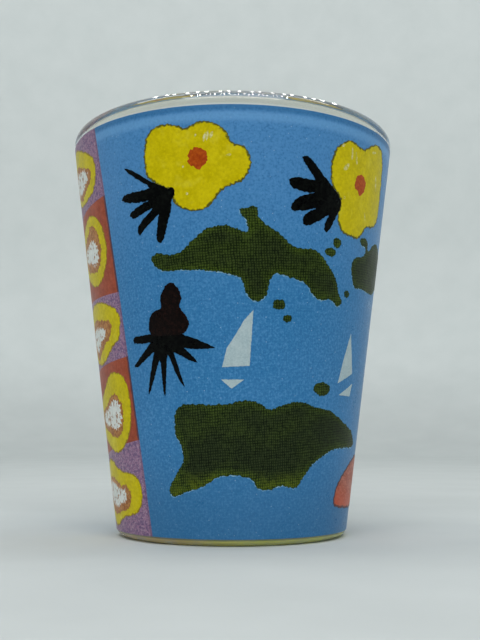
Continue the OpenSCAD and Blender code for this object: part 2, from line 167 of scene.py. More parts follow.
# ---------------------------------------------------------------------------
# The print: outlines as [angle in degrees, height in mm], as in the CAD
# ---------------------------------------------------------------------------
PETALS_A = [[-15.3, 54.8], [-13, 55.2], [-10.5, 55.6], [-7.5, 55.5], [-4.5, 55], [-2, 54.1], [-0.8, 53],
    [0.5, 52.6], [3.2, 52.3], [5.2, 51.4], [5.8, 50], [5, 48.8], [3, 47.8], [0, 47.2], [-3, 46.7],
    [-5, 45.8], [-7, 44.8], [-9.2, 44.2], [-12, 43.9], [-15, 44.1], [-18, 44.5], [-20, 45.3], [-20.6, 46.6],
    [-22.5, 47.2], [-26.2, 47.9], [-29.3, 49], [-30.2, 50.2], [-30.1, 52], [-29.6, 53.5], [-28, 54.7],
    [-25.5, 55.4], [-21.3, 55.6], [-17.6, 55.2]]
PETALS_B = [[47.5, 54.6], [50, 54.5], [52.6, 55], [55, 55.6], [58, 56], [60.7, 56.1], [63.3, 55.8],
    [65, 55], [66.3, 53.9], [67, 52.4], [67.4, 50.6], [67.7, 49], [67.5, 47.1], [66.6, 45.6],
    [64.5, 44.8], [61.5, 44.3], [57, 44], [55, 43.3], [53.4, 42.5], [51.2, 42], [47.5, 42],
    [43.8, 42.2], [41.3, 42.6], [39.6, 43.6], [39.2, 44.8], [40, 46], [39.6, 46.8], [38.2, 47.4],
    [35.8, 48.2], [34.7, 49.5], [34.4, 50.7], [34.8, 52.1], [35.8, 53.2], [38, 54.1], [40.5, 54.8], [44.2, 55]]
EYE_A = [[-14.6, 50.9], [-13.6, 51.9], [-11.2, 52.2], [-9.1, 51.8], [-8.1, 51.1], [-8.7, 50.1],
    [-10, 49.6], [-11.2, 49.2], [-12.8, 49.8], [-14.4, 50.1]]
STROKES_A = [[-9.4, 52.9, -8.6, 54.1, 0.35], [-8.4, 53, -7.8, 54.4, 0.3], [-7.3, 53.3, -6.4, 54.2, 0.4],
    [-2.4, 51, -0.4, 51.2, 0.3], [-15.6, 46.4, -14.9, 46.1, 0.3], [-12.2, 53.5, -11.8, 54, 0.22], [-16.6, 49.7, -16, 49.9, 0.2]]
STROKES_B = [[43.6, 54.2, 43.9, 52.4, 0.3], [45.6, 53.8, 46.8, 52, 0.32], [40.2, 50.8, 42.6, 51.8, 0.7],
    [38.6, 53.9, 39.9, 54.3, 0.35], [55.5, 54.6, 58.6, 54.9, 0.35], [60.5, 51.8, 61.6, 49.6, 0.5], [41.3, 47.2, 42.2, 47, 0.35],
    [54.4, 46, 55.5, 44.9, 0.28]]
LEAVES_A = [[-21.8, 47.1], [-20.6, 47.3], [-19.8, 47.1], [-19.5, 46.6], [-20, 46], [-20.8, 45.5], [-21, 44.6],
    [-21.7, 43.5], [-22.6, 42.6], [-23.4, 41.6], [-24.2, 40.6], [-25.2, 40.1], [-26.4, 40.1], [-27.1, 40.7],
    [-27, 41.6], [-26.4, 42.6], [-25.8, 43.9], [-27, 43.5], [-29, 43], [-31, 42.4], [-33, 41.7], [-34, 41.4],
    [-34.9, 41.8], [-34.6, 42.6], [-33, 43.2], [-31, 43.8], [-29, 44.4], [-28.1, 44.8], [-30, 44.6],
    [-32.5, 44.2], [-35, 43.8], [-36.8, 43.8], [-38, 44.2], [-37.4, 44.7], [-35.5, 45], [-33, 45.4],
    [-31, 45.7], [-29.4, 45.9], [-32, 45.8], [-35, 45.8], [-38, 46], [-40, 46.2], [-41.3, 46.6],
    [-40.6, 47], [-38.5, 47.2], [-35.6, 47.3], [-32.5, 47.3], [-30, 47.4], [-28.7, 47.5], [-30, 48],
    [-32, 48.5], [-34, 49], [-36, 49.6], [-38, 50.2], [-39, 50.7], [-37.5, 50.6], [-35.5, 50.2],
    [-33, 49.6], [-30.5, 48.9], [-28, 48.3], [-25.5, 47.8], [-23, 47.4]]
LEAVES_B = [[23, 51.5], [24.7, 51.7], [26.2, 51.4], [27.8, 50.9], [29.9, 50.1], [31.7, 49.4], [33.5, 48.9],
    [35.6, 48.2], [37.8, 47.6], [39.4, 46.9], [40.4, 46.3], [40.2, 45.6], [39.4, 45], [38.6, 44.4],
    [37.6, 43.6], [36.6, 42.9], [35.6, 42.3], [34.4, 41.9], [33.4, 42.2], [33.6, 43], [34.4, 43.7],
    [35, 44.3], [33.5, 44], [32, 43.6], [30.5, 43.2], [29, 42.9], [27.5, 42.6], [26, 42.5], [24.7, 42.7],
    [24.3, 43.3], [25.2, 43.9], [26.6, 44.3], [28, 44.6], [29.4, 44.9], [28, 44.8], [26.5, 44.6], [24.5, 44.4],
    [22.5, 44.3], [20.8, 44.2], [19.8, 44.6], [20.4, 45.3], [21.4, 45.8], [23, 46.2], [25, 46.5],
    [27, 46.8], [28.6, 47], [26.5, 46.9], [24.5, 46.9], [22.5, 47], [20.5, 47.2], [19.2, 47.6],
    [18.6, 48.2], [19.8, 48.6], [21.8, 48.7], [24, 48.7], [26.4, 48.6], [28.6, 48.7], [27.4, 49.2],
    [26, 49.8], [24.8, 50.4], [23.7, 50.9]]
FRUIT = [[-21.8, 34.7], [-20, 34.1], [-18.9, 33.2], [-18.6, 32.4], [-19.5, 31.6], [-18.6, 31], [-16.9, 30.2],
    [-16, 29.4], [-16.7, 28.5], [-19, 27.9], [-23, 27.8], [-28, 27.8], [-31.3, 27.9], [-32.6, 28.6],
    [-32.6, 29.7], [-31.2, 30.7], [-29.2, 31.2], [-27.2, 31.4], [-26.7, 31.9], [-27, 32.8], [-26.1, 33.6],
    [-24.1, 34.5]]
LEAVES_C = [[-31.5, 28.1], [-26, 28.3], [-19.6, 28.1], [-17.3, 27.7], [-13.3, 27.2], [-8.8, 26.5], [-6.2, 26],
    [-10.5, 25.9], [-14.5, 25.9], [-18.3, 26.1], [-16.2, 25.4], [-13.9, 24.6], [-13, 24.1], [-16.7, 24.5],
    [-19.6, 25.1], [-22.5, 25.6], [-21.8, 24.7], [-20.4, 23.1], [-19, 21.5], [-18.6, 21], [-20.1, 21.5],
    [-22.4, 23.1], [-24.1, 24.7], [-25.1, 25.3], [-25.7, 24.3], [-26.3, 22.2], [-26.8, 20.4], [-27.2, 19.7],
    [-27.8, 20.4], [-28.1, 22.4], [-28.4, 24.3], [-28.9, 24.6], [-30.1, 23.6], [-31.8, 22.2], [-33.8, 20.6],
    [-35, 20.1], [-34.9, 20.7], [-33.5, 22.7], [-32.4, 24.1], [-31, 25.7], [-32.1, 25.5], [-36, 24.6],
    [-39.5, 23.8], [-41.4, 23.8], [-41.2, 24.1], [-38.3, 25], [-35.5, 25.9], [-32.4, 27], [-36.6, 26.9],
    [-40.6, 27], [-41.2, 27.45], [-40, 27.9], [-35.5, 28]]
UPPER = [[-30, 38], [-27, 38.7], [-20, 38.4], [-15, 39.7], [-10, 41.3], [-4, 42], [2, 41.5],
    [5, 41], [4.5, 42.6], [2, 44], [5, 44.3], [8.2, 44.4], [9, 42.9], [14, 41.6], [18, 40.6],
    [21, 39.6], [26, 39.4], [31, 39.3], [36, 37.8], [41, 35.8], [43, 34], [45.3, 33], [43, 32.2],
    [39, 33], [34, 32.8], [30.5, 33.4], [27, 34.8], [20, 35.5], [15, 35.8], [13, 34.4], [12, 32.8],
    [8.5, 32.1], [5, 33], [3, 35], [-3, 35.8], [-12, 36.2], [-20, 36.3], [-26, 36.4]]
EDGE = [[49.3, 38], [49.8, 38.9], [52, 39.4], [55, 39.7], [57.8, 40.1], [58.6, 40.8], [57.5, 41.2],
    [55, 41.3], [53.6, 41.8], [54.4, 42.3], [57, 42.5], [59.2, 42.1], [60.2, 41.2], [61.5, 40.9], [63.5, 41.4],
    [66, 42.2], [70, 42.5], [74, 42.2], [78, 41.6], [82, 41], [86, 39.4], [84, 37], [78, 36.2], [72, 35.2],
    [65, 35.1], [58, 35.3], [53, 35.2], [50.4, 36.4]]
LOWER = [[-23.5, 15], [-22.5, 18], [-17, 18.7], [-10, 18.6], [-2, 18.7], [5, 19.2], [11, 18.8],
    [15, 18], [21, 18.7], [28, 19.1], [36, 18.4], [44, 18], [51, 17], [58, 16], [64, 15.2],
    [68.5, 13.8], [67, 13], [58, 12.9], [49, 12.7], [42, 11.8], [36, 10.6], [32, 9], [28, 7.6],
    [22, 8], [16, 7.5], [11.5, 7.6], [8, 8.9], [1, 9.4], [-6, 9.1], [-12, 7.9], [-19, 7.2],
    [-25.5, 6.5], [-27.5, 7.5], [-24, 9.4], [-20.5, 11.2], [-20.8, 13]]
BACK_LOW = [[115, 16], [119, 17.6], [128, 18.8], [140, 18.2], [152, 19], [163, 18.2], [173, 16.8],
    [182, 15.6], [186, 13.8], [180, 12.4], [170, 12], [162, 10.4], [152, 9.6], [142, 10],
    [133, 8.6], [124, 9.4], [118, 11.4], [113, 13.6]]
ISLES = [[40, 40.8, 2.1, 0.7], [37.2, 39.4, 2.8, 0.6], [17, 31.8, 2.6, 0.7],
    [20.5, 30, 1.8, 0.5], [47.8, 34.1, 1.7, 0.5], [38.5, 20.9, 4.6, 0.9],
    [106, 34, 3, 0.8], [113, 37, 2, 0.6], [200, 20, 3.4, 0.8],
    [226, 40, 3.2, 0.8], [236, 42, 2.2, 0.6]]
FISH = [[53, 6], [55.4, 8], [62, 9.8], [70, 11.2], [79, 11.8], [88, 9.8], [95, 8.2], [102, 10.6],
    [106, 11], [103.5, 7.2], [106, 3.6], [102, 3.6], [95, 6], [87, 4.9], [76, 4.3], [66, 4.4],
    [58, 4.6], [54, 5]]
SAIL_1 = [[7.6, 31], [6.6, 23.7], [-3.8, 23.5], [-2, 26], [1, 27.6], [4.2, 29.6]]
HULL_1 = [[4.6, 21.9], [-4.2, 21.9], [-0.2, 20.7]]
SAIL_2 = [[53.6, 28.8], [58, 23.3], [47.6, 21.8], [50, 25]]
HULL_2 = [[59.2, 21.9], [57.8, 20.1], [49, 20.2]]
FLESH = [
    [[-55.2, 52.5], [-56.4, 53.8], [-59.5, 54.7], [-63.2, 55.4], [-67.3, 56], [-71.5, 56.6], [-76, 56.8],
        [-81, 56], [-84, 53.6], [-83, 50.8], [-79, 48.9], [-75, 48.3], [-71.5, 48.2], [-67.3, 48.2],
        [-63.2, 48.6], [-59.5, 49], [-57.2, 49.8], [-55.7, 51]],
    [[-52.5, 41], [-53.3, 42.6], [-54.8, 44], [-58, 45.3], [-61.6, 45.9], [-64.7, 46.1], [-68.4, 45.8],
        [-72, 45.2], [-76.5, 44.3], [-81, 42.8], [-83, 40.8], [-81, 38.8], [-76.2, 37.3], [-72, 36.5],
        [-68.4, 36], [-64.7, 35.8], [-61.1, 36], [-57.4, 36.8], [-54.3, 38.3], [-52.8, 39.8]],
    [[-48, 31], [-50.1, 31.9], [-52.8, 32.5], [-56, 32.9], [-60.6, 33.4], [-66, 33.6], [-71, 33.5],
        [-76.2, 33.1], [-81.5, 31.8], [-84, 29.4], [-82, 26.8], [-78, 25.4], [-74, 24.8], [-69.6, 24.6],
        [-65.2, 24.8], [-61.5, 25.4], [-57.8, 26.2], [-54, 27.1], [-50.9, 27.6], [-49.2, 28.3], [-48.3, 29.7]],
    [[-45.8, 18.7], [-46.2, 20.2], [-47.4, 21.7], [-50, 22.8], [-54, 23.3], [-57.8, 23.4], [-62, 22.9],
        [-66, 21.9], [-69.6, 21], [-75, 20.2], [-80, 19], [-82, 17], [-79.5, 14.8], [-74.5, 13.6],
        [-69.6, 13], [-65.2, 12.4], [-60.2, 12.1], [-55.2, 12.6], [-51.5, 13.5], [-49, 14.5], [-47.4, 15.5], [-46.2, 17.2]],
    [[-43.1, 6.8], [-44, 8.2], [-46.5, 9], [-50.2, 9.4], [-55.2, 9.5], [-59.6, 9.8], [-63.4, 10.2],
        [-67, 10.9], [-71.5, 11.2], [-76, 11], [-81, 10], [-84, 7.6], [-83.4, 4.8], [-79.5, 2.8],
        [-75, 1.9], [-71.5, 1.7], [-67, 2.1], [-63.4, 2.7], [-59, 3.2], [-54, 3.5], [-49, 3.8], [-45.6, 4.5], [-43.7, 5.5]]]
RING = [
    [[-59, 52.1], [-60, 52.6], [-62.1, 52.8], [-66.8, 53.4], [-71, 53.9], [-76, 54.4], [-80, 53.6],
        [-81.5, 52], [-79.5, 50.2], [-75, 49.2], [-70.5, 49], [-68, 49.4], [-64.7, 50], [-61.9, 50.4], [-59.8, 51.2]],
    [[-56.9, 41], [-58, 42.7], [-60.6, 44.1], [-63.2, 44.6], [-66.3, 44.4], [-69, 43.7], [-73, 43.2],
        [-78, 42.4], [-80, 41], [-78, 39.4], [-74, 38.4], [-69.9, 38.1], [-65.8, 37.9], [-62.1, 37.9],
        [-59.5, 38.6], [-57.4, 39.8]],
    [[-54.6, 29.8], [-55.4, 30.4], [-57, 30.7], [-60.6, 30.8], [-65.8, 31], [-70, 31.2], [-75, 31],
        [-80, 30], [-81.5, 28.6], [-79, 26.8], [-75, 25.6], [-72, 25.4], [-68.4, 26.1], [-64, 27],
        [-60, 27.7], [-56.5, 28.3]],
    [[-51.8, 17.5], [-52.1, 18.7], [-54, 19.6], [-57.1, 20.4], [-60.2, 20.2], [-64, 19.6], [-67.8, 18.8],
        [-72, 18.4], [-77, 18], [-79, 17], [-77, 15.8], [-70.2, 15.2], [-66.5, 14.8], [-62, 14.3],
        [-57.1, 14.4], [-54, 15], [-52.4, 16.2]],
    [[-51.5, 6.4], [-53, 7.2], [-55.2, 7.7], [-59, 7.6], [-62.8, 7.9], [-66.5, 8.4], [-70.2, 8.6],
        [-76, 8.6], [-80.5, 7.4], [-81, 5.8], [-77, 4], [-72, 3.4], [-66.5, 3.5], [-62.8, 3.9],
        [-58.4, 4.1], [-54.6, 4.5], [-52.4, 5.2]]]
CORE = [
    [[-61.8, 51.8], [-63, 52.3], [-66, 52.9], [-70, 53], [-75, 53.3], [-79, 52.6], [-79, 51], [-74, 49.9],
        [-70, 50], [-67, 50.4], [-64, 51]],
    [[-59.5, 40.4], [-60, 41.2], [-61.1, 41.8], [-63.2, 42.3], [-66.8, 42.3], [-70, 41.9], [-76, 41.6],
        [-77.5, 40.6], [-74, 39.7], [-69, 39.6], [-66.8, 39.1], [-63.7, 38.8], [-60.6, 39.2]],
    [[-60, 29.1], [-62, 29.7], [-66.5, 30], [-70.2, 29.9], [-76, 29.8], [-79, 28.8], [-76, 27.2], [-71.5, 26.6],
        [-69, 27.2], [-65.2, 28], [-62, 28.4]],
    [[-53.4, 17.7], [-54.6, 19], [-57.1, 19.5], [-61, 19.3], [-64, 18.7], [-68.4, 18.1], [-75, 17.6],
        [-76, 16.8], [-71.5, 16.2], [-67, 15.9], [-63.4, 15.7], [-59.6, 15.4], [-56, 15.7], [-53.7, 16.7]],
    [[-55.2, 6.2], [-57.1, 7.1], [-59.6, 7], [-63.4, 7.1], [-67, 7.6], [-71.5, 7.9], [-77, 7.6],
        [-79, 6.2], [-75, 4.9], [-71.5, 4.7], [-67, 4.5], [-62.8, 5], [-59, 5.2], [-56, 5.7]]]
JOINS = [[60, 60], [48, 46.2], [34.3, 34], [25.4, 23.6], [14, 11.4], [0, 0]]
STRIP_LEFT, STRIP_TOP, STRIP_LOW = -86.0, -53.0, -39.0

K = 0.362          # millimetres along the print per degree, for the flat layout


def strip_right(z):
    return STRIP_LOW + (STRIP_TOP - STRIP_LOW) * (z - PRINT_LOW) / (PRINT_HIGH - PRINT_LOW)


def moved(p, da, dz):
    return [[a + da, z + dz] for a, z in p]


def curve(p, n=3):
    m, out = len(p), []
    for i in range(m):
        a, b, c, d = p[(i - 1) % m], p[i], p[(i + 1) % m], p[(i + 2) % m]
        for k in range(n):
            t = k / n
            out.append([0.5 * (2 * b[j] + (c[j] - a[j]) * t + (2 * a[j] - 5 * b[j] + 4 * c[j] - d[j]) * t * t
                               + (3 * b[j] - a[j] - 3 * c[j] + d[j]) * t ** 3) for j in (0, 1)])
    return out


def flat(p):
    """Angle and height to the flat layout in millimetres."""
    return [[a * K, z] for a, z in p]


def area(p):
    return 0.5 * sum(p[i][0] * p[(i + 1) % len(p)][1] - p[(i + 1) % len(p)][0] * p[i][1] for i in range(len(p)))


def resampled(p, step, keep_corners=False):
    """Points along a closed outline at most step apart. Corners stay if asked."""
    out, m = [], len(p)
    if keep_corners:
        for i in range(m):
            a, b = p[i], p[(i + 1) % m]
            n = max(1, int(math.ceil(math.dist(a, b) / step)))
            out += [[a[0] + (b[0] - a[0]) * k / n, a[1] + (b[1] - a[1]) * k / n] for k in range(n)]
        return out
    total = sum(math.dist(p[i], p[(i + 1) % m]) for i in range(m))
    n = max(8, int(round(total / step)))
    want, run, i, at = total / n, 0.0, 0, 0.0
    pos = [0.0]
    for i in range(m):
        pos.append(pos[-1] + math.dist(p[i], p[(i + 1) % m]))
    i = 0
    for k in range(n):
        s = total * k / n
        while pos[i + 1] < s:
            i += 1
        t = (s - pos[i]) / max(1e-9, pos[i + 1] - pos[i])
        a, b = p[i % m], p[(i + 1) % m]
        out.append([a[0] + (b[0] - a[0]) * t, a[1] + (b[1] - a[1]) * t])
    return out


def brushed(p, amp, seed, step=0.2, keep_corners=False):
    """A hand-painted edge: the outline resampled, with small wobble along its normal."""
    if area(p) < 0:
        p = p[::-1]
    q = resampled(p, step, keep_corners)
    rnd = random.Random(seed)
    m = len(q)
    total = m * step
    waves = []
    for lam, share in ((2.6, 0.45), (1.3, 0.5), (0.75, 0.6), (0.48, 0.6)):
        n = max(1, round(total / lam))
        for d in (0, 1):
            waves.append((n + d * rnd.choice((1, 2, 3)), share * 0.7, rnd.uniform(0, 6.283)))
    out = []
    for i in range(m):
        a, b = q[(i - 1) % m], q[(i + 1) % m]
        tx, tz = b[0] - a[0], b[1] - a[1]
        l = math.hypot(tx, tz) or 1
        w = sum(s * math.sin(6.28318 * n * i / m + ph) for n, s, ph in waves)
        w += rnd.uniform(-0.35, 0.35)
        out.append([q[i][0] + tz / l * w * amp, q[i][1] - tx / l * w * amp])
    return out


def stroke(a0, z0, a1, z1, w):
    """A dry-brush mark from one point to another, pointed at both ends, w millimetres wide."""
    k = r_at((z0 + z1) / 2) * math.pi / 180
    dx, dz = (a1 - a0) * k, z1 - z0
    l = math.hypot(dx, dz)
    nx, nz = -dz / l, dx / l
    out = []
    for side in (1, -1):
        for i in range(7):
            t = i / 6 if side > 0 else 1 - i / 6
            h = side * (0.02 + w / 2 * math.sin(math.pi * min(1, max(0, t))) ** 0.7)
            out.append([(a0 * k + dx * t + nx * h) / k, z0 + dz * t + nz * h])
    return out


def rays(p, pitch, depth, seed):
    """A starry edge: short tapering strokes pointing into the middle of the outline."""
    if area(p) < 0:
        p = p[::-1]
    q = resampled(p, pitch / 2)
    if len(q) % 2:
        q = q[:-1]
    rnd = random.Random(seed)
    m, out = len(q), []
    for i in range(m):
        a, b = q[(i - 1) % m], q[(i + 1) % m]
        tx, tz = b[0] - a[0], b[1] - a[1]
        l = math.hypot(tx, tz) or 1
        d = rnd.uniform(0.1, 0.75) * depth if i % 2 else -rnd.uniform(0.2, 0.75) * depth
        s = rnd.uniform(-0.08, 0.08) * pitch
        out.append([q[i][0] + tz / l * d + tx / l * s, q[i][1] - tx / l * d + tz / l * s])
    return out


def oval(c, ra, rz, n=10, seed=0):
    rnd = random.Random(seed)
    return [[c[0] + ra * math.cos(2 * math.pi * i / n) * rnd.uniform(0.9, 1.08),
             c[1] + rz * math.sin(2 * math.pi * i / n) * rnd.uniform(0.9, 1.08)] for i in range(n)]


# Each patch: name of the piece, its flat outlines, layer order, the CAD node that it stands for
PATCHES = []


def patch(name, node, order, outlines, relief, slot, mat):
    PATCHES.append(dict(name=name, node=node, order=order, outlines=outlines, relief=relief, slot=slot, mat=mat))


def lines(n, outlines, amp, seed, step=0.2, corners=False):
    return [brushed(o, amp, seed * 31 + i, step, corners) for i, o in enumerate(outlines)]


def tile(i):
    top_r, top_l = JOINS[i]
    low_r, low_l = JOINS[i + 1]
    top_r, top_l = min(top_r, PRINT_HIGH + 1), min(top_l, PRINT_HIGH + 1)
    low_r, low_l = max(low_r, PRINT_LOW - 1), max(low_l, PRINT_LOW - 1)
    p = [[strip_right(low_r), low_r], [strip_right(top_r), top_r]]
    n = 6
    top = [[strip_right(top_r) + (STRIP_LEFT - 1 - strip_right(top_r)) * k / n, top_r + (top_l - top_r) * k / n] for k in range(1, n + 1)]
    low = [[strip_right(low_r) + (STRIP_LEFT - 1 - strip_right(low_r)) * k / n, low_r + (low_l - low_r) * k / n] for k in range(n, 0, -1)]
    return flat(p + top + low)


def layout():
    purple = [tile(i) for i in (0, 2, 4)]
    red = [tile(i) for i in (1, 3)]
    patch("border_purple", "border_tiles_purple", 1, purple, 0.055, "ink_purple", "purple")
    patch("border_red", "border_tiles_red", 1, red, 0.055, "ink_red", "red")
    patch("fruit_slices_flesh", "slice_flesh_yellow", 2,
          lines(0, [flat(curve(s, 4)) for s in FLESH], 0.075, 3), 0.075, "ink_yellow", "flesh")
    patch("fruit_slices_ring", "slice_ring_orange", 3,
          lines(0, [flat(curve(s, 4)) for s in RING], 0.15, 4), 0.08, "ink_orange", "ring")
    patch("fruit_slices_core", "slice_core_white", 4,
          [rays(flat(curve(s, 4)), 0.70, 0.50, 5 + i) for i, s in enumerate(CORE)], 0.085, "ink_white", "core")
    turns = (("left", 0, 1, "petals_left", "flower_eye_left", "leaves_left"),
             ("right", 0, 2, "petals_right", "flower_eye_right", "leaves_right"),
             ("back_right", 88, 2, "petals_back_right", "flower_eye_back_right", "leaves_back_right"),
             ("back_left", 227, 1, "petals_back_left", "flower_eye_back_left", "leaves_back_left"))
    for q, (tag, turn, kind, petals, eye, leaves) in enumerate(turns):
        p, spray = (PETALS_A, LEAVES_A) if kind == 1 else (PETALS_B, LEAVES_B)
        e = EYE_A if kind == 1 else moved(EYE_A, 61.3, -1.3)
        patch("flower_" + tag, petals, 2, lines(0, [flat(moved(curve(p, 4), turn, 0))], 0.07, 11 + q),
              0.08, "ink_yellow", "petal")
        marks = STROKES_A if kind == 1 else STROKES_B
        patch("flower_strokes_" + tag, petals, 3, lines(0, [flat(moved(stroke(*b), turn, 0)) for b in marks], 0.02, 121 + q, 0.12),
              0.085, "ink_yellow", "stroke")
        patch("flower_eye_ink_" + tag, eye, 5, lines(0, [flat(moved(curve(e, 4), turn, 0))], 0.09 if kind == 1 else 0.05, 21 + q, 0.15),
              0.09, "ink_orange", "eye")
        patch("leaf_spray_" + tag, leaves, 4, lines(0, [flat(moved(spray, turn, 0))], 0.045, 31 + q, 0.16),
              0.085, "ink_black", "leaf")
    for q, (tag, turn, fr, lv) in enumerate((("front", 0, "fruit_front", "fruit_leaves_front"),
                                            ("back", 260, "fruit_back", "fruit_leaves_back"))):
        patch("fruit_ink_" + tag, fr, 5, lines(0, [flat(moved(curve(FRUIT, 4), turn, 0))], 0.05, 41 + q), 0.09, "ink_maroon", "fruit")
        patch("fruit_spray_" + tag, lv, 4, lines(0, [flat(moved(LEAVES_C, turn, 0))], 0.03, 51 + q, 0.16),
              0.085, "ink_black", "leaf")
    back_up = [[165 * 2 - (a * 0.9 + 160), z - 1] for a, z in UPPER][::-1]
    for q, (name, node, pts) in enumerate((("isle_long", "island_upper", UPPER), ("isle_edge", "island_edge", EDGE),
                                          ("isle_wide", "island_lower", LOWER), ("isle_back_long", "island_back_upper", back_up),
                                          ("isle_back_wide", "island_back_lower", BACK_LOW))):
        patch(name, node, 2, lines(0, [flat(curve(pts, 4))], 0.085, 61 + q), 0.08, "ink_green", "isle")
    # the white under the green sits a hair low, and shows as a pale line along the lower edges
    for q, (name, node, pts) in enumerate((("isle_long_halo", "island_upper", UPPER), ("isle_edge_halo", "island_edge", EDGE),
                                          ("isle_wide_halo", "island_lower", LOWER))):
        patch(name, node, 1, lines(0, [flat(moved(curve(pts, 4), -0.12, -0.10))], 0.07, 161 + q), 0.06, "ink_white", "halo")
    patch("isle_small", "islets", 3, lines(0, [flat(curve(oval([a, z], ra, rz, 10, 7 + i), 3)) for i, (a, z, ra, rz) in enumerate(ISLES)],
                                          0.06, 71, 0.15), 0.08, "ink_green", "isle")
    for q, (name, node, sail, hull, turn) in enumerate((("boat_front_left", "boat_left", SAIL_1, HULL_1, 0),
                                                       ("boat_front_right", "boat_right", SAIL_2, HULL_2, 0),
                                                       ("boat_rear", "boat_back", SAIL_1, HULL_1, 172))):
        patch(name, node, 2, lines(0, [flat(moved(sail, turn, 0)), flat(moved(hull, turn, 0))], 0.02, 81 + q, 0.2, True),
              0.075, "ink_white", "sail")
    patch("fish_red", "fish_coral", 2, lines(0, [flat(curve(FISH, 4))], 0.09, 91), 0.08, "ink_coral", "coral")
    patch("fish_gold", "fish_yellow", 2, lines(0, [flat(moved(curve(FISH, 4), 100, -2))], 0.09, 92), 0.08, "ink_yellow", "petal")


def build_print():
    """One flat triangulation of the whole band, shared out among the patches."""
    layout()
    x0, x1 = STRIP_LEFT * K, (STRIP_LEFT + 360) * K
    verts, faces, owner = [], [], []
    for pi, p in enumerate(PATCHES):
        for o in p["outlines"]:
            o = [[min(max(x, x0 + 1e-4 * 0), x1), min(max(z, PRINT_LOW), PRINT_HIGH)] for x, z in o]
            q = [o[0]]
            for v in o[1:]:
                if math.dist(v, q[-1]) > 1e-4:
                    q.append(v)
            if math.dist(q[0], q[-1]) < 1e-4:
                q.pop()
            if area(q) < 0:
                q = q[::-1]
            base = len(verts)
            verts += q
            faces.append(list(range(base, base + len(q))))
            owner.append(pi)
    edge_pts = [v for v in verts]
    # the band itself
    base = len(verts)
    nx, nz = 300, 130
    ring = [[x0 + (x1 - x0) * i / nx, PRINT_LOW] for i in range(nx)]
    ring += [[x1, PRINT_LOW + (PRINT_HIGH - PRINT_LOW) * i / nz] for i in range(nz)]
    ring += [[x1 - (x1 - x0) * i / nx, PRINT_HIGH] for i in range(nx)]
    ring += [[x0, PRINT_HIGH - (PRINT_HIGH - PRINT_LOW) * i / nz] for i in range(nz)]
    verts += ring
    faces.append(list(range(base, base + len(ring))))
    owner.append(-1)
    # inner points, on a staggered grid, clear of the outlines
    tree = KDTree(len(edge_pts))
    for i, v in enumerate(edge_pts):
        tree.insert((v[0], v[1], 0), i)
    tree.balance()
    step = 0.62
    rows = int((PRINT_HIGH - PRINT_LOW) / (step * 0.87))
    for j in range(1, rows):
        z = PRINT_LOW + (PRINT_HIGH - PRINT_LOW) * j / rows
        cols = int((x1 - x0) / step)
        for i in range(1, cols):
            x = x0 + (x1 - x0) * (i + (0.5 if j % 2 else 0)) / cols
            if x > x1 - 0.2:
                continue
            if tree.find((x, z, 0))[2] > 0.2:
                verts.append([x, z])
    vs, _, fs, _, _, of = delaunay_2d_cdt([Vector(v) for v in verts], [], faces, 0, 1e-6)
    groups = {pi: [] for pi in range(-1, len(PATCHES))}
    for f, src in zip(fs, of):
        best, order = -1, 0
        for s in src:
            pi = owner[s]
            if pi >= 0 and PATCHES[pi]["order"] > order:
                best, order = pi, PATCHES[pi]["order"]
        groups[best].append(f)
    return vs, groups, x0, x1


def wrap(name, vs, tris, t_in, t_out, x0, x1, tree):
    """Thin closed shell round the glass from flat triangles."""
    used, new, verts, dist = {}, [], [], []

    def put(i, t, side):
        key = (i, side)
        if key not in used:
            x, z = vs[i]
            a = math.radians(x / K)
            r = r_at(z) + t / CA
            used[key] = len(verts)
            verts.append((r * math.sin(a) * MM, -r * math.cos(a) * MM, z * MM))
            dist.append(min(3.0, tree.find((x, z, 0))[2]) if tree else 3.0)
        return used[key]

    edges = {}
    faces = []
    for f in tris:
        for k in range(len(f)):
            e = (f[k], f[(k + 1) % len(f)])
            edges[e] = 1
    for f in tris:
        faces.append([put(i, t_out, 1) for i in f])
        faces.append([put(i, t_in, 0) for i in reversed(f)])
    for (a, b) in edges:
        if (b, a) not in edges:
            faces.append([put(a, t_in, 0), put(b, t_in, 0), put(b, t_out, 1), put(a, t_out, 1)])
    ob = make_mesh(name, verts, faces, sharp=40)
    me = ob.data
    at = me.attributes.new("edge_mm", "FLOAT", "POINT")
    at.data.foreach_set("value", dist)
    return ob


